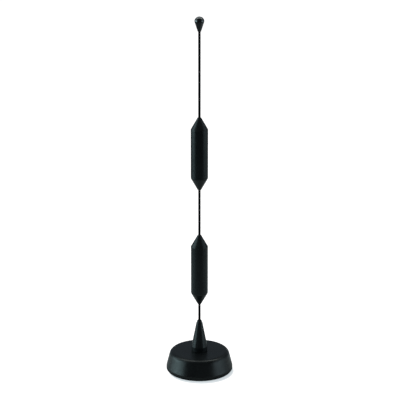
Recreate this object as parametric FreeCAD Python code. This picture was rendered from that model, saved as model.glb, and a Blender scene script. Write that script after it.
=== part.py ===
import FreeCAD, Part
import math
import os

from FreeCAD import Vector

# Collinear whip antenna on a magnetic foot, in millimetres.
# +Z points up the whip, +Y points to the back, where the feed cable goes in.
# The origin is on the floor, under the middle of the foot.

# Fits between pieces, measured on the radius
FIT = 0.05
CABLE_FIT = 0.1

# Foot cover: one moulding, an upright band below a sloping wall with a rounded rim
FOOT_DIAMETER = 90.0
FOOT_HEIGHT = 27.0
BAND_HEIGHT = 5.5
COVER_LEAN = 5.5
RIM_ROUNDING = 6.0
BAND_ROUNDING = 1.5
FOOT_ROUNDING = 0.8
COVER_WALL = 3.0
COVER_ROOF = 3.0

# What lies under the cover: pad, ring magnet and steel plate
PAD_THICKNESS = 1.2
PAD_INSET = 1.0
PAD_ROUNDING = 0.5
MAGNET_THICKNESS = 7.0
MAGNET_GAP = 2.5
MAGNET_HOLE = 34.0
PLATE_THICKNESS = 2.0
PLATE_GAP = 0.8

# Countersunk screws that hold the plate to bosses under the cover
SCREW_COUNT = 3
SCREW_DIAMETER = 3.0
SCREW_HEAD_DIAMETER = 5.6
SCREW_LENGTH = 10.0
SCREW_EDGE = 12.0
SCREW_END_ROOM = 1.0
BOSS_WALL = 2.5

# Cable inlet at the back: a rubber grommet in a counterbored boss
CABLE_DIAMETER = 5.0
GROMMET_WALL = 1.4
GROMMET_LIP = 1.2
GROMMET_LIP_THICKNESS = 1.8
INLET_LENGTH = 9.0
INLET_WALL = 2.0
INLET_RECESS = 0.6
INLET_CLEARANCE = 0.3

# Feed stud through the roof, with the cable's centre tag held under a nut
STUD_DIAMETER = 6.0
STUD_REACH = 17.0
STUD_END_ROOM = 1.0
STUD_FLANGE_DIAMETER = 13.0
STUD_FLANGE_THICKNESS = 2.5
TAIL_DIAMETER = 4.0
TAIL_SPARE = 2.0
TAG_THICKNESS = 0.6
TAG_DIAMETER = 8.4
TAG_WIDTH = 4.0
TAG_REACH = 12.0
TAG_WIRE_HOLE = 1.6
WASHER_DIAMETER = 7.6
WASHER_THICKNESS = 0.9
WASHER_SLIT = 0.8
NUT_ACROSS_FLATS = 7.0
NUT_HEIGHT = 3.2

# Earth tag and its screw, on the plate beside the inlet
EARTH_EDGE = 17.0
EARTH_TURN = 38.0
EARTH_HEAD_HEIGHT = 2.0

# Cone that carries the whip, its gasket, brass insert and grub screw
GASKET_THICKNESS = 0.8
GASKET_INSET = 0.5
CONE_FOOT_DIAMETER = 21.6
CONE_FOOT_HEIGHT = 5.5
CONE_TAPER_HEIGHT = 33.6
CONE_NECK_DIAMETER = 8.4
CONE_NOSE_HEIGHT = 4.3
CONE_NOSE_DIAMETER = 5.0
CONE_EDGE_ROUNDING = 0.5
NOSE_ROUNDING = 0.8
INSERT_DIAMETER = 8.8
INSERT_WEB = 2.0
GRUB_DIAMETER = 3.0
GRUB_LENGTH = 4.0
GRUB_KEY_ACROSS_FLATS = 1.5
GRUB_KEY_DEPTH = 2.0

# Whip rods: the bare lengths that show between the other pieces
ROD_DIAMETER = 3.2
ROD_SOCKET = 9.0
LOWER_ROD_SPAN = 23.0
MIDDLE_ROD_SPAN = 62.6
UPPER_ROD_SPAN = 112.6

# Coil housings: a tapered body and a tapered cap that plugs into it
HOUSING_DIAMETER = 22.8
HOUSING_STRAIGHT = 65.8
HOUSING_TAPER = 16.0
HOUSING_END_DIAMETER = 4.6
HOUSING_WALL = 2.0
SHOULDER_ROUNDING = 4.0
END_ROUNDING = 0.5
SPIGOT_LENGTH = 6.0
SPIGOT_WALL = 1.6

# Inside each housing: two ferrules on a former, joined by a strip wound round it
FERRULE_DIAMETER = 7.0
FERRULE_WEB = 1.5
FERRULE_FLANGE = 0.8
FERRULE_FLANGE_THICKNESS = 2.0
FORMER_DIAMETER = 10.0
FORMER_SPIGOT_DIAMETER = 4.0
FORMER_SPIGOT_LENGTH = 3.5
STRIP_WIDTH = 2.0
STRIP_THICKNESS = 0.6
STRIP_TURNS = 5
STRIP_END_GAP = 0.3

# Drop-shaped tip: its dome is a little lower than half a ball
TIP_DIAMETER = 12.6
TIP_LENGTH = 19.1
TIP_NECK_DIAMETER = 4.4
TIP_DOME_SINK = 0.7
TIP_SHOULDER_INSET = 1.7

# Radii and heights that several pieces share
foot_radius = FOOT_DIAMETER / 2
cover_top_radius = foot_radius - COVER_LEAN
rod_radius = ROD_DIAMETER / 2
insert_radius = INSERT_DIAMETER / 2
housing_radius = HOUSING_DIAMETER / 2
housing_end_radius = HOUSING_END_DIAMETER / 2
cavity_radius = housing_radius - HOUSING_WALL
ferrule_radius = FERRULE_DIAMETER / 2
former_radius = FORMER_DIAMETER / 2
cable_bore_radius = CABLE_DIAMETER / 2 + CABLE_FIT
grommet_radius = cable_bore_radius + GROMMET_WALL
grommet_lip_radius = grommet_radius + GROMMET_LIP
inlet_boss_radius = grommet_radius + FIT + INLET_WALL

plate_bottom = PAD_THICKNESS + MAGNET_THICKNESS
plate_top = plate_bottom + PLATE_THICKNESS
roof_bottom = FOOT_HEIGHT - COVER_ROOF
inlet_height = plate_top + INLET_CLEARANCE + inlet_boss_radius
flange_bottom = roof_bottom - STUD_FLANGE_THICKNESS
tag_bottom = flange_bottom - TAG_THICKNESS
washer_bottom = tag_bottom - WASHER_THICKNESS
nut_bottom = washer_bottom - NUT_HEIGHT
cone_bottom = FOOT_HEIGHT + GASKET_THICKNESS
cone_foot_top = cone_bottom + CONE_FOOT_HEIGHT
cone_neck = cone_foot_top + CONE_TAPER_HEIGHT
cone_top = cone_neck + CONE_NOSE_HEIGHT
insert_top = cone_bottom + STUD_REACH + STUD_END_ROOM + INSERT_WEB + ROD_SOCKET
grub_height = insert_top - ROD_SOCKET / 2

# Inside a housing, heights are measured from its lower end
housing_length = HOUSING_STRAIGHT + 2 * HOUSING_TAPER
housing_seam = HOUSING_TAPER + HOUSING_STRAIGHT
taper_slope = (housing_radius - housing_end_radius) / HOUSING_TAPER
ferrule_seat = (ferrule_radius + FIT + HOUSING_WALL - housing_end_radius) / taper_slope
ferrule_length = ROD_SOCKET + FERRULE_WEB + FORMER_SPIGOT_LENGTH
former_bottom = ferrule_seat + ferrule_length
former_length = housing_length - 2 * former_bottom

lower_coil_bottom = cone_top + LOWER_ROD_SPAN
upper_coil_bottom = lower_coil_bottom + housing_length + MIDDLE_ROD_SPAN
tip_bottom = upper_coil_bottom + housing_length + UPPER_ROD_SPAN


def wall_radius(height):
    """Outside radius of the cover's sloping wall at a height above its band."""
    lean_per_height = COVER_LEAN / (FOOT_HEIGHT - BAND_HEIGHT)
    return foot_radius - lean_per_height * (height - BAND_HEIGHT)


plate_radius = wall_radius(plate_top) - COVER_WALL - PLATE_GAP
magnet_radius = wall_radius(plate_bottom) - COVER_WALL - MAGNET_GAP
screw_circle = plate_radius - SCREW_EDGE
inlet_face = wall_radius(inlet_height) - INLET_RECESS
inlet_seat = inlet_face - GROMMET_LIP_THICKNESS
inlet_inner_end = inlet_face - INLET_LENGTH


def turned(outline):
    """Solid turned about the whip's axis from (radius, height) corners."""
    corners = [Vector(radius, 0, height) for radius, height in outline]
    face = Part.Face(Part.makePolygon(corners + corners[:1]))
    return face.revolve(Vector(0, 0, 0), Vector(0, 0, 1), 360)


def pin(radius, bottom, top):
    """Round bar about the whip's axis between two heights."""
    return Part.makeCylinder(radius, top - bottom, Vector(0, 0, bottom))


def ring(outer_radius, inner_radius, bottom, top):
    """Flat ring about the whip's axis between two heights."""
    return pin(outer_radius, bottom, top).cut(pin(inner_radius, bottom, top))


def back_pin(radius, height, start, end):
    """Round bar that points to the back, between two distances from the whip's axis."""
    return Part.makeCylinder(radius, end - start, Vector(0, start, height), Vector(0, 1, 0))


def hexagon(across_flats, height):
    """Six-sided bar standing on the floor plane."""
    corner_radius = across_flats / math.sqrt(3)
    angles = [math.radians(60 * side) for side in range(7)]
    corners = [Vector(corner_radius * math.cos(a), corner_radius * math.sin(a), 0) for a in angles]
    return Part.Face(Part.makePolygon(corners)).extrude(Vector(0, 0, height))


def rounded(solid, rounding, radius, height):
    """Solid with its circular edge at that radius and height rounded over."""
    edges = []
    for edge in solid.Edges:
        if not isinstance(edge.Curve, Part.Circle):
            continue
        off_height = abs(edge.Curve.Center.z - height)
        off_radius = abs(edge.Curve.Radius - radius)
        if max(off_height, off_radius) < FIT / 10:
            edges.append(edge)
    return solid.makeFillet(rounding, edges)


def screw_places():
    """Turns that set a screw on its circle, one opposite the cable inlet and the rest evenly spaced."""
    places = []
    for number in range(SCREW_COUNT):
        turn = FreeCAD.Rotation(Vector(0, 0, 1), 360 / SCREW_COUNT * number)
        places.append(FreeCAD.Placement(turn.multVec(Vector(0, -screw_circle, 0)), turn))
    return places


def repeated(solid):
    """Copies of a solid, one at each screw place."""
    return [solid.transformed(place.toMatrix()) for place in screw_places()]


def base_pad():
    pad_radius = foot_radius - PAD_INSET
    return rounded(pin(pad_radius, 0, PAD_THICKNESS), PAD_ROUNDING, pad_radius, 0)


def magnet_ring():
    return ring(magnet_radius, MAGNET_HOLE / 2, PAD_THICKNESS, plate_bottom)


def plate_screw(fit):
    """Countersunk screw with its head flush below the plate, or its hole when a fit is given."""
    shank = SCREW_DIAMETER / 2 + fit
    head = SCREW_HEAD_DIAMETER / 2 + fit
    shank_start = plate_bottom + head - shank
    end = plate_bottom + SCREW_LENGTH
    return turned([(0, plate_bottom), (head, plate_bottom), (shank, shank_start), (shank, end), (0, end)])


def pole_plate():
    plate = pin(plate_radius, plate_bottom, plate_top)
    plate = plate.cut(repeated(plate_screw(FIT)))
    return plate.cut(earth_shank(FIT))


def base_cover():
    outside = turned([
        (0, PAD_THICKNESS),
        (foot_radius, PAD_THICKNESS),
        (foot_radius, BAND_HEIGHT),
        (cover_top_radius, FOOT_HEIGHT),
        (0, FOOT_HEIGHT),
    ])
    outside = rounded(outside, RIM_ROUNDING, cover_top_radius, FOOT_HEIGHT)
    outside = rounded(outside, BAND_ROUNDING, foot_radius, BAND_HEIGHT)
    outside = rounded(outside, FOOT_ROUNDING, foot_radius, PAD_THICKNESS)
    inside = turned([
        (0, PAD_THICKNESS),
        (foot_radius - COVER_WALL, PAD_THICKNESS),
        (foot_radius - COVER_WALL, BAND_HEIGHT),
        (wall_radius(roof_bottom) - COVER_WALL, roof_bottom),
        (0, roof_bottom),
    ])
    shell = outside.cut(inside)
    boss_radius = SCREW_DIAMETER / 2 + FIT + BOSS_WALL
    bosses = repeated(pin(boss_radius, plate_top, roof_bottom))
    inlet_boss = back_pin(inlet_boss_radius, inlet_height, inlet_inner_end, foot_radius).common(outside)
    cover = shell.fuse(bosses + [inlet_boss])
    screw_hole = pin(SCREW_DIAMETER / 2 + FIT, plate_top, plate_bottom + SCREW_LENGTH + SCREW_END_ROOM)
    cover = cover.cut(repeated(screw_hole))
    cover = cover.cut(pin(STUD_DIAMETER / 2 + FIT, roof_bottom, FOOT_HEIGHT))
    cover = cover.cut(back_pin(grommet_radius + FIT, inlet_height, inlet_inner_end, inlet_seat))
    cover = cover.cut(back_pin(grommet_lip_radius + FIT, inlet_height, inlet_seat, foot_radius))
    return cover.removeSplitter()


def cable_grommet():
    body = back_pin(grommet_radius, inlet_height, inlet_inner_end, inlet_seat)
    lip = back_pin(grommet_lip_radius, inlet_height, inlet_seat, inlet_face)
    bore = back_pin(cable_bore_radius, inlet_height, inlet_inner_end, inlet_face)
    return body.fuse(lip).cut(bore).removeSplitter()


def feed_stud():
    tail_end = nut_bottom - TAIL_SPARE
    return turned([
        (0, tail_end),
        (TAIL_DIAMETER / 2, tail_end),
        (TAIL_DIAMETER / 2, flange_bottom),
        (STUD_FLANGE_DIAMETER / 2, flange_bottom),
        (STUD_FLANGE_DIAMETER / 2, roof_bottom),
        (STUD_DIAMETER / 2, roof_bottom),
        (STUD_DIAMETER / 2, cone_bottom + STUD_REACH),
        (0, cone_bottom + STUD_REACH),
    ])


def tag(hole_diameter):
    """Flat soldering tag lying on the floor plane, its tongue pointing to the back."""
    eye = pin(TAG_DIAMETER / 2, 0, TAG_THICKNESS)
    tongue = Part.makeBox(TAG_WIDTH, TAG_REACH, TAG_THICKNESS, Vector(-TAG_WIDTH / 2, 0, 0))
    wire_hole = pin(TAG_WIRE_HOLE / 2, 0, TAG_THICKNESS)
    wire_hole.translate(Vector(0, TAG_REACH - TAG_WIDTH / 2, 0))
    eye_hole = pin(hole_diameter / 2 + FIT, 0, TAG_THICKNESS)
    return eye.fuse(tongue).cut([wire_hole, eye_hole]).removeSplitter()


def solder_tag():
    return tag(TAIL_DIAMETER).translated(Vector(0, 0, tag_bottom))


def lock_washer():
    washer = ring(WASHER_DIAMETER / 2, TAIL_DIAMETER / 2 + FIT, washer_bottom, tag_bottom)
    slit_corner = Vector(0, -WASHER_SLIT / 2, washer_bottom)
    return washer.cut(Part.makeBox(WASHER_DIAMETER, WASHER_SLIT, WASHER_THICKNESS, slit_corner))


def stud_nut():
    nut = hexagon(NUT_ACROSS_FLATS, NUT_HEIGHT)
    nut = nut.cut(pin(TAIL_DIAMETER / 2 + FIT, 0, NUT_HEIGHT))
    return nut.translated(Vector(0, 0, nut_bottom))


def at_earth_spot(solid, bottom):
    """Solid moved from the origin to where the earth tag is fixed."""
    from_axis = plate_radius - EARTH_EDGE
    across = from_axis * math.sin(math.radians(EARTH_TURN))
    back = from_axis * math.cos(math.radians(EARTH_TURN))
    return solid.translated(Vector(across, back, bottom))


def earth_shank(fit):
    """Shank of the earth screw through the tag and the plate, or its hole when a fit is given."""
    shank = pin(SCREW_DIAMETER / 2 + fit, 0, PLATE_THICKNESS + TAG_THICKNESS)
    return at_earth_spot(shank, plate_bottom)


def earth_tag():
    return at_earth_spot(tag(SCREW_DIAMETER), plate_top)


def earth_screw():
    head = pin(SCREW_HEAD_DIAMETER / 2, 0, EARTH_HEAD_HEIGHT)
    head = at_earth_spot(head, plate_top + TAG_THICKNESS)
    return head.fuse(earth_shank(0)).removeSplitter()


def cone_gasket():
    return ring(CONE_FOOT_DIAMETER / 2 - GASKET_INSET, STUD_DIAMETER / 2 + FIT, FOOT_HEIGHT, cone_bottom)


def grub_hole():
    """Tapped hole for the grub screw, from the whip's axis out through the back of the cone."""
    return back_pin(GRUB_DIAMETER / 2 + FIT, grub_height, 0, CONE_FOOT_DIAMETER / 2)


def whip_cone():
    foot = CONE_FOOT_DIAMETER / 2
    neck = CONE_NECK_DIAMETER / 2
    nose = CONE_NOSE_DIAMETER / 2
    cone = turned([
        (0, cone_bottom),
        (foot, cone_bottom),
        (foot, cone_foot_top),
        (neck, cone_neck),
        (nose, cone_top),
        (0, cone_top),
    ])
    cone = rounded(cone, CONE_EDGE_ROUNDING, foot, cone_foot_top)
    cone = rounded(cone, NOSE_ROUNDING, neck, cone_neck)
    cone = rounded(cone, NOSE_ROUNDING, nose, cone_top)
    cone = cone.cut(pin(insert_radius + FIT, cone_bottom, insert_top))
    cone = cone.cut(pin(rod_radius + FIT, insert_top, cone_top))
    return cone.cut(grub_hole())


def cone_insert():
    insert = pin(insert_radius, cone_bottom, insert_top)
    insert = insert.cut(pin(STUD_DIAMETER / 2 + FIT, cone_bottom, cone_bottom + STUD_REACH + STUD_END_ROOM))
    insert = insert.cut(pin(rod_radius + FIT, insert_top - ROD_SOCKET, insert_top))
    return insert.cut(grub_hole())


def grub_screw():
    start = rod_radius + FIT
    end = start + GRUB_LENGTH
    screw = back_pin(GRUB_DIAMETER / 2, grub_height, start, end)
    key = hexagon(GRUB_KEY_ACROSS_FLATS, GRUB_KEY_DEPTH)
    key.Placement = FreeCAD.Placement(
        Vector(0, end - GRUB_KEY_DEPTH, grub_height),
        FreeCAD.Rotation(Vector(0, 0, 1), Vector(0, 1, 0)),
    )
    return screw.cut(key)


def coil_housing():
    """Lower taper and straight body of a housing, open at the seam under its cap."""
    body = turned([
        (0, 0),
        (housing_end_radius, 0),
        (housing_radius, HOUSING_TAPER),
        (housing_radius, housing_seam),
        (0, housing_seam),
    ])
    body = rounded(body, SHOULDER_ROUNDING, housing_radius, HOUSING_TAPER)
    body = rounded(body, END_ROUNDING, housing_end_radius, 0)
    cavity = turned([
        (0, ferrule_seat),
        (ferrule_radius + FIT, ferrule_seat),
        (cavity_radius, HOUSING_TAPER),
        (cavity_radius, housing_seam),
        (0, housing_seam),
    ])
    return body.cut(cavity).cut(pin(rod_radius + FIT, 0, ferrule_seat))


def coil_cap():
    """Upper taper of a housing, with a hollow spigot that plugs into the body."""
    spigot_radius = cavity_radius - FIT
    spigot_bore = spigot_radius - SPIGOT_WALL
    spigot_bottom = housing_seam - SPIGOT_LENGTH
    cap_seat = housing_length - ferrule_seat
    cap = turned([
        (spigot_bore, spigot_bottom),
        (spigot_radius, spigot_bottom),
        (spigot_radius, housing_seam),
        (housing_radius, housing_seam),
        (housing_end_radius, housing_length),
        (rod_radius + FIT, housing_length),
        (rod_radius + FIT, cap_seat),
        (ferrule_radius + FIT, cap_seat),
        (spigot_bore, housing_seam),
    ])
    return rounded(cap, END_ROUNDING, housing_end_radius, housing_length)


def coil_ferrule():
    """Turned ferrule: a socket for the rod below, a flange and a socket for the former above."""
    flange_radius = former_radius + FERRULE_FLANGE
    flange_start = former_bottom - FERRULE_FLANGE_THICKNESS
    ferrule = turned([
        (0, ferrule_seat),
        (ferrule_radius, ferrule_seat),
        (ferrule_radius, flange_start),
        (flange_radius, flange_start),
        (flange_radius, former_bottom),
        (0, former_bottom),
    ])
    ferrule = ferrule.cut(pin(rod_radius + FIT, ferrule_seat, ferrule_seat + ROD_SOCKET))
    spigot_socket = FORMER_SPIGOT_DIAMETER / 2 + FIT
    return ferrule.cut(pin(spigot_socket, former_bottom - FORMER_SPIGOT_LENGTH, former_bottom))


def coil_former():
    """Insulating rod between the ferrules, with a spigot at each end."""
    spigot_radius = FORMER_SPIGOT_DIAMETER / 2
    former_top = former_bottom + former_length
    return turned([
        (0, former_bottom - FORMER_SPIGOT_LENGTH),
        (spigot_radius, former_bottom - FORMER_SPIGOT_LENGTH),
        (spigot_radius, former_bottom),
        (former_radius, former_bottom),
        (former_radius, former_top),
        (spigot_radius, former_top),
        (spigot_radius, former_top + FORMER_SPIGOT_LENGTH),
        (0, former_top + FORMER_SPIGOT_LENGTH),
    ])


def coil_winding():
    """Flat strip wound round the former from one ferrule's flange to the other's."""
    inner = former_radius + FIT
    outer = inner + STRIP_THICKNESS
    half_width = STRIP_WIDTH / 2
    rise = former_length - STRIP_WIDTH - 2 * STRIP_END_GAP
    path = Part.Wire(Part.makeHelix(rise / STRIP_TURNS, rise, (inner + outer) / 2))
    section = Part.makePolygon([
        Vector(inner, 0, -half_width),
        Vector(outer, 0, -half_width),
        Vector(outer, 0, half_width),
        Vector(inner, 0, half_width),
        Vector(inner, 0, -half_width),
    ])
    strip = path.makePipeShell([section], True, True)
    return strip.translated(Vector(0, 0, former_bottom + STRIP_END_GAP + half_width))


def coil_pieces(name, bottom):
    """The six pieces of one phasing coil, with its housing's lower end at a height."""
    top_ferrule = coil_ferrule().mirror(Vector(0, 0, housing_length / 2), Vector(0, 0, 1))
    pieces = {
        "housing": coil_housing(),
        "cap": coil_cap(),
        "former": coil_former(),
        "winding": coil_winding(),
        "bottom_ferrule": coil_ferrule(),
        "top_ferrule": top_ferrule,
    }
    return {f"{name}_{piece}": shape.translated(Vector(0, 0, bottom)) for piece, shape in pieces.items()}


def lower_rod():
    return pin(rod_radius, insert_top - ROD_SOCKET, lower_coil_bottom + ferrule_seat + ROD_SOCKET)


def middle_rod():
    start = lower_coil_bottom + housing_length - ferrule_seat - ROD_SOCKET
    return pin(rod_radius, start, upper_coil_bottom + ferrule_seat + ROD_SOCKET)


def upper_rod():
    start = upper_coil_bottom + housing_length - ferrule_seat - ROD_SOCKET
    return pin(rod_radius, start, tip_bottom + ROD_SOCKET)


def outline_arc(radius, centre_radius, centre_height, start, end):
    """Arc of a turned outline between two angles above the horizon."""
    points = []
    for angle in (start, (start + end) / 2, end):
        across = centre_radius + radius * math.cos(angle)
        points.append(Vector(across, 0, centre_height + radius * math.sin(angle)))
    return Part.Arc(*points).toShape()


def whip_tip():
    """Drop shape: a low dome on half a ball, whose underside runs straight down to a narrow neck."""
    ball = TIP_DIAMETER / 2
    neck = TIP_NECK_DIAMETER / 2
    top = tip_bottom + TIP_LENGTH
    widest = top - ball + TIP_DOME_SINK
    drop = widest - tip_bottom
    # The straight side touches the ball where its slope meets the circle
    touch = math.acos(ball / math.hypot(neck, drop)) - math.atan2(drop, neck)
    underside = outline_arc(ball, 0, widest, touch, 0)
    # The shoulder's arc passes into the dome's arc where their centres line up
    rise = TIP_SHOULDER_INSET - TIP_DOME_SINK
    sink = (TIP_SHOULDER_INSET ** 2 - rise ** 2) / (2 * rise)
    meet = math.atan2(sink, TIP_SHOULDER_INSET)
    shoulder = outline_arc(ball - TIP_SHOULDER_INSET, TIP_SHOULDER_INSET, widest, 0, meet)
    dome = outline_arc(top - widest + sink, 0, widest - sink, meet, math.pi / 2)
    foot = Vector(0, 0, tip_bottom)
    edge = Vector(neck, 0, tip_bottom)
    outline = Part.Wire([
        Part.makeLine(foot, edge),
        Part.makeLine(edge, underside.Vertexes[0].Point),
        underside,
        shoulder,
        dome,
        Part.makeLine(Vector(0, 0, top), foot),
    ])
    drop_solid = Part.Face(outline).revolve(Vector(0, 0, 0), Vector(0, 0, 1), 360)
    return drop_solid.cut(pin(rod_radius + FIT, tip_bottom, tip_bottom + ROD_SOCKET))


def antenna():
    """Every piece by its name, from the floor up."""
    pieces = {
        "base_pad": base_pad(),
        "magnet_ring": magnet_ring(),
        "pole_plate": pole_plate(),
        "plate_screws": Part.makeCompound(repeated(plate_screw(0))),
        "base_cover": base_cover(),
        "cable_grommet": cable_grommet(),
        "feed_stud": feed_stud(),
        "solder_tag": solder_tag(),
        "lock_washer": lock_washer(),
        "stud_nut": stud_nut(),
        "earth_tag": earth_tag(),
        "earth_screw": earth_screw(),
        "cone_gasket": cone_gasket(),
        "whip_cone": whip_cone(),
        "cone_insert": cone_insert(),
        "grub_screw": grub_screw(),
        "lower_rod": lower_rod(),
        "middle_rod": middle_rod(),
        "upper_rod": upper_rod(),
        "whip_tip": whip_tip(),
    }
    pieces.update(coil_pieces("lower_coil", lower_coil_bottom))
    pieces.update(coil_pieces("upper_coil", upper_coil_bottom))
    return pieces


os.makedirs("parts", exist_ok=True)
for piece_name, piece_shape in antenna().items():
    piece_shape.exportStep(f"parts/{piece_name}.step")
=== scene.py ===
import math

import bmesh
import bpy
from mathutils import Matrix, Vector


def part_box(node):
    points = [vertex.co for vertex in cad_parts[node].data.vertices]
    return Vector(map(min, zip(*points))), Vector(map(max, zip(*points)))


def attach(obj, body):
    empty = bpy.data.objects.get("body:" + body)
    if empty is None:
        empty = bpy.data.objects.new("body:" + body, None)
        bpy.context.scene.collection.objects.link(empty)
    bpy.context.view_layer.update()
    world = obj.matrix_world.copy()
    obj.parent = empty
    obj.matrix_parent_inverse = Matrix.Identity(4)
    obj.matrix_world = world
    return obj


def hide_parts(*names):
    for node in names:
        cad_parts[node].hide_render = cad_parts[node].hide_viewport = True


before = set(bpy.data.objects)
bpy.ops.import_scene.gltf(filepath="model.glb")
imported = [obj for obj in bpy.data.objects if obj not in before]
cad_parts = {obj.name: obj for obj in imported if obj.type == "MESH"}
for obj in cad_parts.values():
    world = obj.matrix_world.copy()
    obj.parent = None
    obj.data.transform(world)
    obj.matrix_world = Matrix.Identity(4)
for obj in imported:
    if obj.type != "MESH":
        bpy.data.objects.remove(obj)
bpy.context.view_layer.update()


# Base pad: a thin disc of soft black rubber under the foot, so that the magnet can't scratch paint.
# It is stamped from sheet with its lower edge rounded over, and glued to the cover and the magnet.
mm = 0.001
longest_face = 4 * mm
same_place = 0.0005 * mm
arc_step = math.radians(9)
sharp_angle = math.radians(35)


def turned(outline, steps):
    """Bmesh turned about the whip's axis from (radius, height, rounding) corners."""
    bm = bmesh.new()
    corners = [bm.verts.new((radius, 0, height)) for radius, height, rounding in outline]
    starts_on_axis = outline[0][0] == 0
    next_corners = corners[1:] if starts_on_axis else corners[1:] + corners[:1]
    for start, end in zip(corners, next_corners):
        bm.edges.new((start, end))
    for corner, (radius, height, rounding) in zip(corners, outline):
        if rounding:
            round_off(bm, corner, rounding)
    return spun(bm, steps)


def round_off(bm, corner, rounding):
    """Swaps a corner of an outline for an arc of that radius."""
    sides = [edge.other_vert(corner).co - corner.co for edge in corner.link_edges]
    turn = math.pi - sides[0].angle(sides[1])
    bmesh.ops.bevel(
        bm, geom=[corner], offset=rounding * math.tan(turn / 2), offset_type="OFFSET",
        segments=max(2, round(turn / arc_step)), profile=0.5, affect="VERTICES", material=-1,
    )


def spun(bm, steps):
    """Outline in a bmesh turned into a closed skin about the whip's axis, with no long thin faces."""
    for edge in bm.edges[:]:
        cuts = int(edge.calc_length() / longest_face)
        if cuts:
            bmesh.ops.subdivide_edges(bm, edges=[edge], cuts=cuts)
    bmesh.ops.spin(
        bm, geom=bm.verts[:] + bm.edges[:], cent=(0, 0, 0), axis=(0, 0, 1),
        angle=2 * math.pi, steps=steps, use_merge=True,
    )
    bmesh.ops.remove_doubles(bm, verts=bm.verts, dist=same_place)
    bmesh.ops.recalc_face_normals(bm, faces=bm.faces)
    return bm


def finished(bm, name, material):
    """Object made from a bmesh, smooth all over except at its sharp edges."""
    for face in bm.faces:
        face.smooth = True
    for edge in bm.edges:
        edge.smooth = edge.calc_face_angle(math.pi) < sharp_angle
    mesh = bpy.data.meshes.new(name)
    bm.to_mesh(mesh)
    bm.free()
    mesh.materials.append(material)
    piece = bpy.data.objects.new(name, mesh)
    bpy.context.collection.objects.link(piece)
    flats = piece.modifiers.new("flats_stay_flat", "WEIGHTED_NORMAL")
    flats.keep_sharp = True
    return piece


def node(tree, kind, inputs=None, **settings):
    """Node in a tree, with its inputs set to values or joined to other nodes' sockets."""
    made = tree.nodes.new(kind)
    for name, value in settings.items():
        setattr(made, name, value)
    for name, value in (inputs or {}).items():
        if isinstance(value, bpy.types.NodeSocket):
            tree.links.new(value, made.inputs[name])
        else:
            made.inputs[name].default_value = value
    return made


def reckoned(tree, operation, *values):
    """Socket with the result of an operation on numbers or other nodes' sockets."""
    return node(tree, "ShaderNodeMath", dict(enumerate(values)), operation=operation).outputs["Value"]


def ramp(tree, value, start, end, low=0.0, high=1.0, curve="LINEAR"):
    """Socket that goes from low to high as a value goes from start to end, and stays level beyond them."""
    made = node(tree, "ShaderNodeMapRange", {
        "Value": value, "From Min": start, "From Max": end, "To Min": low, "To Max": high,
    }, interpolation_type=curve)
    return made.outputs["Result"]


def blended(tree, share, first, second):
    """Colour socket that goes from the first colour to the second as a share goes from 0 to 1."""
    return node(tree, "ShaderNodeMix", {0: share, 6: first, 7: second}, data_type="RGBA").outputs[2]


def effect_group(name, inputs, outputs):
    """Empty shader node group with its input and output nodes, for an effect that materials share."""
    tree = bpy.data.node_groups.new(name, "ShaderNodeTree")
    for socket, kind in inputs.items():
        tree.interface.new_socket(socket, in_out="INPUT", socket_type=f"NodeSocket{kind}")
    for socket in outputs:
        tree.interface.new_socket(socket, in_out="OUTPUT", socket_type="NodeSocketFloat")
    return tree, tree.nodes.new("NodeGroupInput").outputs, tree.nodes.new("NodeGroupOutput").inputs


cloud_start = 0.35
cloud_full = 0.65
hair_level = 0.5
hair_width = 0.012
surface_grain, given, wanted = effect_group(
    "surface_grain", {"Position": "Vector", "Fineness": "Float", "Cloud Fineness": "Float"},
    ["Height", "Cloud", "Scuff"])
pits = node(surface_grain, "ShaderNodeTexNoise", {
    "Vector": given["Position"], "Scale": given["Fineness"], "Detail": 2.0, "Roughness": 0.6})
cloud_noise = node(surface_grain, "ShaderNodeTexNoise", {
    "Vector": given["Position"], "Scale": given["Cloud Fineness"], "Detail": 4.0, "Roughness": 0.55})
cloud = ramp(surface_grain, cloud_noise.outputs["Fac"], cloud_start, cloud_full, curve="SMOOTHSTEP")
hair_noise = node(surface_grain, "ShaderNodeTexNoise", {
    "Vector": given["Position"], "Scale": given["Cloud Fineness"], "Detail": 3.0, "Distortion": 1.2})
off_level = reckoned(surface_grain, "SUBTRACT", hair_noise.outputs["Fac"], hair_level)
off_line = reckoned(surface_grain, "ABSOLUTE", off_level)
hair_line = ramp(surface_grain, off_line, 0.0, hair_width, 1.0, 0.0)
surface_grain.links.new(pits.outputs["Fac"], wanted["Height"])
surface_grain.links.new(cloud, wanted["Cloud"])
surface_grain.links.new(reckoned(surface_grain, "MULTIPLY", hair_line, cloud), wanted["Scuff"])


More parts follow.
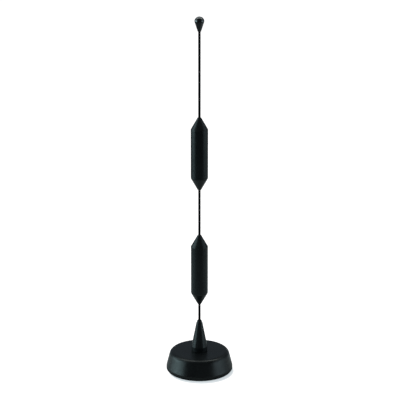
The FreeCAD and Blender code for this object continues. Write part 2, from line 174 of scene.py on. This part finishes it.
def finish_of(
    name, dark, light, shine, grain, clouds, bump,
    scuffs=0.06, metallic=0.0, glint=0.5, coat=0.0, stretch=(1, 1, 1),
):
    """Material whose colour and gloss drift in soft clouds over a fine grain, with dull hairline scuffs."""
    material = bpy.data.materials.new(name)
    material.use_nodes = True
    tree = material.node_tree
    shader = tree.nodes["Principled BSDF"]
    shader.inputs["Metallic"].default_value = metallic
    shader.inputs["Specular IOR Level"].default_value = glint
    shader.inputs["Coat Weight"].default_value = coat
    place = node(tree, "ShaderNodeTexCoord").outputs["Object"]
    place = node(tree, "ShaderNodeMapping", {"Vector": place, "Scale": stretch}).outputs["Vector"]
    surface = node(tree, "ShaderNodeGroup", node_tree=surface_grain)
    tree.links.new(place, surface.inputs["Position"])
    surface.inputs["Fineness"].default_value = grain
    surface.inputs["Cloud Fineness"].default_value = clouds
    colour = blended(tree, surface.outputs["Cloud"], (*dark, 1), (*light, 1))
    tree.links.new(colour, shader.inputs["Base Color"])
    gloss = ramp(tree, surface.outputs["Cloud"], 0.0, 1.0, *shine)
    dulled = reckoned(tree, "MULTIPLY_ADD", surface.outputs["Scuff"], scuffs, gloss)
    tree.links.new(dulled, shader.inputs["Roughness"])
    relief = node(tree, "ShaderNodeBump", {
        "Height": surface.outputs["Height"], "Strength": 0.5, "Distance": bump})
    tree.links.new(relief.outputs["Normal"], shader.inputs["Normal"])
    return material


rubber = finish_of(
    "soft_black_rubber", dark=(0.013, 0.013, 0.0135), light=(0.019, 0.019, 0.0195),
    shine=(0.55, 0.72), grain=2600, clouds=130, bump=0.05 * mm, glint=0.15)
pad_low, pad_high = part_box("base_pad")
pad_edge = 0.5 * mm
pad = finished(turned([
    (0, pad_low.z, 0),
    (pad_high.x, pad_low.z, pad_edge),
    (pad_high.x, pad_high.z, 0),
    (0, pad_high.z, 0),
], steps=144), "pad_disc", rubber)
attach(pad, "root")
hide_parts("base_pad")


# Foot cover: one black moulding with an upright band round its foot, a sloping wall and a rounded rim.
# It is hollow over the magnet, with screw bosses inside and a counterbored inlet at the back.
def reshaped(bm, tool, operation):
    """Bmesh with another cut from it or joined to it. Both are used up."""
    solids = []
    for shape in (bm, tool):
        mesh = bpy.data.meshes.new("boolean")
        shape.to_mesh(mesh)
        shape.free()
        solid = bpy.data.objects.new("boolean", mesh)
        bpy.context.collection.objects.link(solid)
        solids.append(solid)
    change = solids[0].modifiers.new("change", "BOOLEAN")
    change.object = solids[1]
    change.operation = operation
    change.solver = "EXACT"
    result = bmesh.new()
    result.from_object(solids[0], bpy.context.evaluated_depsgraph_get())
    bmesh.ops.remove_doubles(result, verts=result.verts, dist=same_place)
    bmesh.ops.triangulate(result, faces=[face for face in result.faces if len(face.verts) > 4])
    bmesh.ops.dissolve_degenerate(result, dist=same_place, edges=result.edges)
    for solid in solids:
        mesh = solid.data
        bpy.data.objects.remove(solid)
        bpy.data.meshes.remove(mesh)
    return result


def to_the_back(bm, height):
    """Turns a shape from standing on the whip's axis to pointing backwards at a height."""
    bmesh.ops.rotate(bm, verts=bm.verts, cent=(0, 0, 0), matrix=Matrix.Rotation(-math.pi / 2, 3, "X"))
    bmesh.ops.translate(bm, verts=bm.verts, vec=(0, 0, height))
    return bm


def bar(radius, start, end, steps):
    """Plain bar about the whip's axis, used as a cutter or a boss."""
    return turned([(0, start, 0), (radius, start, 0), (radius, end, 0), (0, end, 0)], steps)


cover_low, cover_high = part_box("base_cover")
band_top = 5.5 * mm
cover_lean = 5.5 * mm
cover_wall = 3 * mm
roof_thickness = 3 * mm
foot_edge = 0.8 * mm
band_edge = 1.5 * mm
rim_round = 6 * mm
stud_hole = 3.05 * mm
roof_bottom = cover_high.z - roof_thickness
top_radius = cover_high.x - cover_lean
slope = cover_lean / (cover_high.z - band_top)
inner_top_radius = cover_high.x - cover_wall - slope * (roof_bottom - band_top)
cover_shape = turned([
    (cover_high.x, cover_low.z, foot_edge),
    (cover_high.x, band_top, band_edge),
    (top_radius, cover_high.z, rim_round),
    (stud_hole, cover_high.z, 0),
    (stud_hole, roof_bottom, 0),
    (inner_top_radius, roof_bottom, 0),
    (cover_high.x - cover_wall, band_top, 0),
    (cover_high.x - cover_wall, cover_low.z, 0),
], steps=192)
plate_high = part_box("pole_plate")[1]
screw_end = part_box("plate_screws")[1].z
screw_count = 3
screw_edge = 12 * mm
screw_hole = 1.55 * mm
screw_boss_wall = 2.5 * mm
screw_end_room = 1 * mm
boss_root = 1 * mm
for number in range(screw_count):
    turn = Matrix.Rotation(2 * math.pi * number / screw_count, 3, "Z")
    spot = turn @ Vector((0, screw_edge - plate_high.x, 0))
    screw_boss = bar(screw_hole + screw_boss_wall, plate_high.z, roof_bottom + boss_root, steps=48)
    pilot_hole = bar(screw_hole, plate_high.z - boss_root, screw_end + screw_end_room, steps=32)
    for shape, operation in ((screw_boss, "UNION"), (pilot_hole, "DIFFERENCE")):
        bmesh.ops.translate(shape, verts=shape.verts, vec=spot)
        cover_shape = reshaped(cover_shape, shape, operation)
grommet_low, grommet_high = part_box("cable_grommet")
lip_depth = 1.8 * mm
lip_overhang = 1.2 * mm
seat_fit = 0.05 * mm
boss_wall = 2 * mm
grommet_height = (grommet_low.z + grommet_high.z) / 2
grommet_seat = grommet_high.y - lip_depth
lip_radius = grommet_high.x
body_radius = lip_radius - lip_overhang
inlet_boss = bar(body_radius + boss_wall, grommet_low.y, grommet_seat, steps=64)
cover_shape = reshaped(cover_shape, to_the_back(inlet_boss, grommet_height), "UNION")
body_hole = bar(body_radius + seat_fit, grommet_low.y - boss_wall, grommet_seat + seat_fit, steps=64)
cover_shape = reshaped(cover_shape, to_the_back(body_hole, grommet_height), "DIFFERENCE")
lip_hole = bar(lip_radius + seat_fit, grommet_seat, cover_high.x + boss_wall, steps=64)
cover_shape = reshaped(cover_shape, to_the_back(lip_hole, grommet_height), "DIFFERENCE")
cover_plastic = finish_of(
    "satin_black_cover", dark=(0.0048, 0.0053, 0.0059), light=(0.0063, 0.0069, 0.0075),
    shine=(0.26, 0.36), grain=1400, clouds=55, bump=0.025 * mm, scuffs=0.10, glint=0.25)
cover = finished(cover_shape, "cover_moulding", cover_plastic)
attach(cover, "root")
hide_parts("base_cover")


# Cable grommet: a soft black rubber bush at the back of the foot that the feed cable passes through.
# It is moulded with a lip that fills the counterbore, and pressed in from outside.
cable_bore = 2.6 * mm
lip_edge = 0.5 * mm
bore_edge = 0.35 * mm
grommet = finished(to_the_back(turned([
    (cable_bore, grommet_low.y, bore_edge),
    (body_radius, grommet_low.y, bore_edge),
    (body_radius, grommet_seat, 0),
    (lip_radius, grommet_seat, 0),
    (lip_radius, grommet_high.y, lip_edge),
    (cable_bore, grommet_high.y, bore_edge),
], steps=72), grommet_height), "grommet_bush", rubber)
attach(grommet, "root")
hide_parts("cable_grommet")


# Magnet, pole plate and screws: a sintered ferrite ring glued to a zinc-plated steel plate.
# Three countersunk screws hold the plate up against the cover's bosses.
def dress(material, *names):
    """Gives CAD nodes that keep their own shape a finish."""
    for name in names:
        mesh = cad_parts[name].data
        mesh.materials.clear()
        mesh.materials.append(material)


ferrite = finish_of(
    "sintered_ferrite", dark=(0.045, 0.045, 0.05), light=(0.085, 0.085, 0.09),
    shine=(0.6, 0.8), grain=1800, clouds=260, bump=0.04 * mm)
zinc_steel = finish_of(
    "zinc_plated_steel", dark=(0.48, 0.50, 0.54), light=(0.66, 0.66, 0.64),
    shine=(0.26, 0.40), grain=3000, clouds=220, bump=0.004 * mm, metallic=1.0)
dress(ferrite, "magnet_ring")
dress(zinc_steel, "pole_plate", "plate_screws")


# Feed stud, nut and tags: the stud, turned from brass like its nut, carries the signal up into the cone.
# A tinned tag for the cable's centre sits under the nut with a steel lock washer.
# The tag for the cable's braid is held to the plate by a small steel screw.
brass = finish_of(
    "turned_brass", dark=(0.66, 0.46, 0.19), light=(0.82, 0.62, 0.30),
    shine=(0.22, 0.36), grain=400, clouds=150, bump=0.006 * mm, metallic=1.0, stretch=(1, 1, 14))
tinned = finish_of(
    "tinned_brass", dark=(0.58, 0.57, 0.54), light=(0.76, 0.76, 0.75),
    shine=(0.28, 0.45), grain=1500, clouds=400, bump=0.006 * mm, metallic=1.0)
dress(brass, "feed_stud", "stud_nut")
dress(tinned, "solder_tag", "earth_tag")
dress(zinc_steel, "lock_washer", "earth_screw")


# Cone gasket: a thin black rubber ring that keeps water out under the cone.
# It is stamped from sheet and squeezed between the cone and the foot's flat top.
gasket_low, gasket_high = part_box("cone_gasket")
gasket_edge = 0.25 * mm
gasket = finished(turned([
    (stud_hole, gasket_low.z, 0),
    (gasket_high.x, gasket_low.z, gasket_edge),
    (gasket_high.x, gasket_high.z, gasket_edge),
    (stud_hole, gasket_high.z, 0),
], steps=96), "gasket_ring", rubber)
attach(gasket, "root")
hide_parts("cone_gasket")


# Whip cone: a black moulding with a short upright foot, a long taper and a blunt nose round the rod.
# It is moulded over a brass insert, screwed down on the feed stud, and cross-drilled at the back.
cone_low, cone_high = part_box("whip_cone")
insert_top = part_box("cone_insert")[1].z
insert_hole = 4.45 * mm
rod_hole = 1.65 * mm
neck_radius = 4.2 * mm
nose_radius = 2.5 * mm
cone_foot_height = 5.5 * mm
nose_length = 4.3 * mm
cone_foot_edge = 0.3 * mm
cone_shoulder_edge = 0.5 * mm
nose_edge = 0.8 * mm
cone_shape = turned([
    (insert_hole, cone_low.z, 0),
    (cone_high.x, cone_low.z, cone_foot_edge),
    (cone_high.x, cone_low.z + cone_foot_height, cone_shoulder_edge),
    (neck_radius, cone_high.z - nose_length, nose_edge),
    (nose_radius, cone_high.z, nose_edge),
    (rod_hole, cone_high.z, 0),
    (rod_hole, insert_top, 0),
    (insert_hole, insert_top, 0),
], steps=128)
grub_low, grub_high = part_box("grub_screw")
grub_height = (grub_low.z + grub_high.z) / 2
grub_hole = bar(grub_high.x + seat_fit, rod_hole, cone_high.x, steps=40)
cone_shape = reshaped(cone_shape, to_the_back(grub_hole, grub_height), "DIFFERENCE")
cone_plastic = finish_of(
    "satin_black_cone", dark=(0.0098, 0.0107, 0.0117), light=(0.0115, 0.0125, 0.0137),
    shine=(0.19, 0.26), grain=1600, clouds=80, bump=0.012 * mm, scuffs=0.10, glint=0.17)
cone = finished(cone_shape, "cone_moulding", cone_plastic)
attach(cone, "root")
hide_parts("whip_cone")
dress(brass, "cone_insert")


# Grub screw: a small zinc-plated steel screw with a hexagon socket, at the back of the cone.
# It runs in a tapped hole through the insert and clamps the lower rod.
grub_edge = 0.25 * mm
key_across = 1.5 * mm
key_sides = 6
key_depth = 2 * mm
grub_shape = turned([
    (0, grub_low.y, 0),
    (grub_high.x, grub_low.y, grub_edge),
    (grub_high.x, grub_high.y, grub_edge),
    (0, grub_high.y, 0),
], steps=48)
key_radius = key_across / 2 / math.cos(math.pi / key_sides)
key = bar(key_radius, grub_high.y - key_depth, grub_high.y + key_depth, steps=key_sides)
grub_shape = to_the_back(reshaped(grub_shape, key, "DIFFERENCE"), grub_height)
grub = finished(grub_shape, "grub_set_screw", zinc_steel)
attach(grub, "root")
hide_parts("grub_screw")


# Whip rods: three lengths of sprung steel wire, black all over, that carry the coils and the tip.
# Their ends are faced off and pushed into the insert, the ferrules and the tip.
rod_black = finish_of(
    "black_coated_wire", dark=(0.0012, 0.0012, 0.0013), light=(0.0020, 0.0020, 0.0022),
    shine=(0.45, 0.60), grain=900, clouds=240, bump=0.004 * mm, glint=0.06, stretch=(1, 1, 0.08))
rod_edge = 0.3 * mm
for span in ("lower_rod", "middle_rod", "upper_rod"):
    rod_low, rod_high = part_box(span)
    rod = finished(turned([
        (0, rod_low.z, 0),
        (rod_high.x, rod_low.z, rod_edge),
        (rod_high.x, rod_high.z, rod_edge),
        (0, rod_high.z, 0),
    ], steps=40), f"{span}_wire", rod_black)
    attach(rod, "root")
    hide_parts(span)


# Phasing coils: in each housing a flat copper strip is wound round a nylon former.
# Turned brass ferrules at the former's ends take the rods.
copper = finish_of(
    "rolled_copper", dark=(0.62, 0.26, 0.13), light=(0.78, 0.42, 0.26),
    shine=(0.24, 0.42), grain=1800, clouds=300, bump=0.004 * mm, metallic=1.0)
nylon = finish_of(
    "natural_nylon", dark=(0.70, 0.66, 0.56), light=(0.80, 0.77, 0.69),
    shine=(0.38, 0.50), grain=1600, clouds=120, bump=0.01 * mm)
for coil in ("lower_coil", "upper_coil"):
    dress(copper, f"{coil}_winding")
    dress(nylon, f"{coil}_former")
    dress(brass, f"{coil}_bottom_ferrule", f"{coil}_top_ferrule")


# Coil housings: black mouldings, each a straight tube that tapers to the rod below with a soft shoulder.
# The tube is open at the top, where the cap plugs in.
coil_plastic = finish_of(
    "satin_black_coil", dark=(0.0083, 0.0090, 0.0100), light=(0.0100, 0.0108, 0.0119),
    shine=(0.23, 0.30), grain=1600, clouds=70, bump=0.012 * mm, scuffs=0.10, glint=0.21,
    stretch=(1, 1, 0.35))
taper_height = 16 * mm
taper_end_radius = 2.3 * mm
taper_end_edge = 0.5 * mm
soft_shoulder = 4 * mm
housing_wall = 2 * mm
ferrule_hole = 3.55 * mm
seam_edge = 0.15 * mm
for coil in ("lower_coil", "upper_coil"):
    body_low, body_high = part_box(f"{coil}_housing")
    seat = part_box(f"{coil}_bottom_ferrule")[0].z
    cavity_radius = body_high.x - housing_wall
    housing = finished(turned([
        (rod_hole, body_low.z, 0),
        (taper_end_radius, body_low.z, taper_end_edge),
        (body_high.x, body_low.z + taper_height, soft_shoulder),
        (body_high.x, body_high.z, seam_edge),
        (cavity_radius, body_high.z, 0),
        (cavity_radius, body_low.z + taper_height, 0),
        (ferrule_hole, seat, 0),
        (rod_hole, seat, 0),
    ], steps=128), f"{coil}_body", coil_plastic)
    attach(housing, "root")
    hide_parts(f"{coil}_housing")


# Coil caps: black mouldings that taper from a crisp shoulder up to the rod.
# A hollow spigot below the shoulder plugs into the housing, and the joint is glued.
spigot_wall = 1.6 * mm
spigot_edge = 0.2 * mm
for coil in ("lower_coil", "upper_coil"):
    cap_low, cap_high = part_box(f"{coil}_cap")
    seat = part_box(f"{coil}_top_ferrule")[1].z
    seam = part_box(f"{coil}_housing")[1].z
    spigot_radius = cap_high.x - housing_wall - seat_fit
    cap = finished(turned([
        (spigot_radius - spigot_wall, cap_low.z, 0),
        (spigot_radius, cap_low.z, spigot_edge),
        (spigot_radius, seam, 0),
        (cap_high.x, seam, seam_edge),
        (taper_end_radius, cap_high.z, taper_end_edge),
        (rod_hole, cap_high.z, 0),
        (rod_hole, seat, 0),
        (ferrule_hole, seat, 0),
        (spigot_radius - spigot_wall, seam, 0),
    ], steps=128), f"{coil}_nose", coil_plastic)
    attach(cap, "root")
    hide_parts(f"{coil}_cap")


# Whip tip: a glossy black drop moulded on the end of the top rod, so that it can't poke an eye.
# A ball with a flattened dome on top runs straight down into a short narrow neck.
tip_low, tip_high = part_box("whip_tip")
ball_radius = tip_high.x
dome_sink = 0.7 * mm
shoulder_inset = 1.7 * mm
tip_neck = 2.2 * mm
socket_depth = 9 * mm
widest = tip_high.z - ball_radius + dome_sink
drop = widest - tip_low.z
touch = math.acos(ball_radius / math.hypot(tip_neck, drop)) - math.atan2(drop, tip_neck)
rise = shoulder_inset - dome_sink
sink = (shoulder_inset ** 2 - rise ** 2) / (2 * rise)
meet = math.atan2(sink, shoulder_inset)
tip_shape = bmesh.new()
outline_end = tip_shape.verts.new((0, 0, tip_high.z))
for middle, angle, steps in (
    ((0, 0, widest - sink), math.pi / 2 - meet, 18),
    ((shoulder_inset, 0, widest), meet, 8),
    ((0, 0, widest), -touch, 6),
):
    arc = bmesh.ops.spin(
        tip_shape, geom=[outline_end], cent=middle, axis=(0, 1, 0), angle=angle, steps=steps)
    outline_end = next(part for part in arc["geom_last"] if isinstance(part, bmesh.types.BMVert))
for radius, height in (
    (tip_neck, tip_low.z),
    (rod_hole, tip_low.z),
    (rod_hole, tip_low.z + socket_depth),
    (0, tip_low.z + socket_depth),
):
    corner = tip_shape.verts.new((radius, 0, height))
    tip_shape.edges.new((outline_end, corner))
    outline_end = corner
tip_gloss = finish_of(
    "gloss_black_tip", dark=(0.0015, 0.0028, 0.0040), light=(0.0020, 0.0033, 0.0045),
    shine=(0.03, 0.05), grain=1200, clouds=160, bump=0.001 * mm, glint=0.5, coat=0.5)
tip = finished(spun(tip_shape, steps=96), "tip_drop", tip_gloss)
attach(tip, "root")
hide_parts("whip_tip")


# Floor: a white table top that runs on into a white background.
# The camera sees it white, with a narrow cool shadow painted into its glow at the front and right of the
# foot, where the lamps' own shadow adds to it.
# The black pieces see a table that falls dark to the front and to the left, with a painted contact shade
# close round the foot.
floor_half_size = 6
floor_shape = bmesh.new()
bmesh.ops.create_grid(floor_shape, x_segments=1, y_segments=1, size=floor_half_size)
floor_mesh = bpy.data.meshes.new("floor")
floor_shape.to_mesh(floor_mesh)
floor_shape.free()
floor = bpy.data.objects.new("floor", floor_mesh)
bpy.context.collection.objects.link(floor)
table_white = bpy.data.materials.new("table_white")
table_white.use_nodes = True
tree = table_white.node_tree
tree.nodes.clear()
place = node(tree, "ShaderNodeTexCoord").outputs["Object"]
along = node(tree, "ShaderNodeSeparateXYZ", {"Vector": place}).outputs
table_tone = 0.62
front_tone = 0.27
front_dark = -420 * mm
front_light = -270 * mm
front_fade = ramp(tree, along["Y"], front_dark, front_light, front_tone, table_tone, curve="SMOOTHSTEP")
left_share = 0.25
left_dark = -600 * mm
left_light = -150 * mm
left_fade = ramp(tree, along["X"], left_dark, left_light, left_share, curve="SMOOTHSTEP")
# Painted shade: the table is darkened in a ring close round the foot, where the foot's own shadow would
# fall.
contact_shade_share = 0.05
contact_shade_full = 46.5 * mm
contact_shade_end = 51 * mm
from_middle = node(tree, "ShaderNodeVectorMath", {0: place}, operation="LENGTH").outputs["Value"]
painted_contact_shade = ramp(tree, from_middle, contact_shade_full, contact_shade_end, contact_shade_share, curve="SMOOTHSTEP")
table_fade = reckoned(tree, "MULTIPLY", front_fade, left_fade)
seen_by_object = node(tree, "ShaderNodeBsdfPrincipled", {
    "Base Color": reckoned(tree, "MULTIPLY", table_fade, painted_contact_shade),
    "Roughness": 0.15, "Specular IOR Level": 0.06})
white = (1, 1, 1, 1)
# Painted shadow: inside a circle set off to the front and right of the foot, the floor's white glow turns a
# cool grey.
shadow_colour = (0.47, 0.53, 0.56, 1)
lit_colour = (0.49, 0.40, 0.385, 1)
shadow_middle = (2.5 * mm, -8 * mm, 0)
shadow_core = 42.5 * mm
shadow_end = 45.5 * mm
from_shadow = node(tree, "ShaderNodeVectorMath", {0: place, 1: shadow_middle}, operation="DISTANCE")
outside_painted_shadow = ramp(tree, from_shadow.outputs["Value"], shadow_core, shadow_end, curve="SMOOTHSTEP")
lit_tone = node(tree, "ShaderNodeBsdfDiffuse", {"Color": lit_colour})
white_glow_with_painted_shadow = node(tree, "ShaderNodeEmission", {"Color": blended(tree, outside_painted_shadow, shadow_colour, white)})
seen_by_camera = node(tree, "ShaderNodeAddShader", {0: lit_tone.outputs[0], 1: white_glow_with_painted_shadow.outputs[0]})
ray = node(tree, "ShaderNodeLightPath")
either = node(tree, "ShaderNodeMixShader", {
    "Fac": ray.outputs["Is Camera Ray"], 1: seen_by_object.outputs[0], 2: seen_by_camera.outputs[0]})
node(tree, "ShaderNodeOutputMaterial", {"Surface": either.outputs[0]})
floor_mesh.materials.append(table_white)


# Studio: white all round for the camera, and for the object a dim room that is darkest behind the camera.
# Cool softboxes stand on both sides, with brighter strips along their feet, and a neutral one hangs above.
room_front = (0.072, 0.076, 0.080, 1)
room_back = (0.148, 0.181, 0.210, 1)
front_end = -0.6
back_end = 0.9
world = bpy.data.worlds.new("studio")
bpy.context.scene.world = world
world.use_nodes = True
tree = world.node_tree
direction = node(tree, "ShaderNodeTexCoord").outputs["Generated"]
backwards = node(tree, "ShaderNodeSeparateXYZ", {"Vector": direction}).outputs["Y"]
room = blended(tree, ramp(tree, backwards, front_end, back_end), room_front, room_back)
ray = node(tree, "ShaderNodeLightPath")
surround = blended(tree, ray.outputs["Is Camera Ray"], room, white)
tree.links.new(surround, tree.nodes["Background"].inputs["Color"])


def softbox(name, place, towards, size, brightness, tint):
    """Rectangular lamp of an even brightness."""
    lamp_data = bpy.data.lights.new(name, "AREA")
    lamp_data.shape = "RECTANGLE"
    lamp_data.size, lamp_data.size_y = size
    lamp_data.energy = brightness * size[0] * size[1] * math.pi
    lamp_data.color = tint
    lamp = bpy.data.objects.new(name, lamp_data)
    lamp.location = place
    lamp.rotation_euler = (Vector(towards) - lamp.location).to_track_quat("-Z", "Y").to_euler()
    bpy.context.collection.objects.link(lamp)


aside = 2.2
left_tint = (0.70, 1.0, 1.05)
right_tint = (0.76, 1.0, 1.09)
for name, azimuth, width, height, brightness, tint in (
    ("left_softbox", -90, 2.4, 1.8, 2.45, left_tint),
    ("left_strip", -81, 2.0, 0.45, 2.20, left_tint),
    ("left_core", -83, 0.9, 0.45, 2.40, left_tint),
    ("right_softbox", 82, 2.4, 1.8, 0.84, right_tint),
    ("right_strip", 72, 1.6, 0.45, 1.60, right_tint),
):
    turn = math.radians(azimuth)
    stand = (aside * math.sin(turn), -aside * math.cos(turn), height / 2)
    softbox(name, stand, (0, 0, height / 2), (width, height), brightness, tint)
top_tint = (0.90, 1.0, 0.96)
top_size = (2.6, 0.6)
top_brightness = 2.90
top_height = 1.5
top_behind = 0.3
softbox(
    "top_softbox", (0, top_behind, top_height), (0, top_behind, 0), top_size, top_brightness, top_tint)


# Camera: a long lens in front of the antenna, looking down at it.
# The focal length is counted in pixels of a frame 400 wide, and the whip stands just left of the middle.
frame_pixels = 400
focal_pixels = 1430
pixels_left = 0.58
pitch = math.radians(17)
reach = 1.887
aim_height = 0.2405
off_middle = pixels_left / focal_pixels * reach
camera_data = bpy.data.cameras.new("photo_camera")
camera_data.sensor_width = 36
camera_data.lens = camera_data.sensor_width * focal_pixels / frame_pixels
camera = bpy.data.objects.new("photo_camera", camera_data)
camera.location = (off_middle, -reach * math.cos(pitch), aim_height + reach * math.sin(pitch))
camera.rotation_euler = (math.pi / 2 - pitch, 0, 0)
bpy.context.collection.objects.link(camera)
scene = bpy.context.scene
scene.camera = camera
scene.view_settings.view_transform = "Standard"
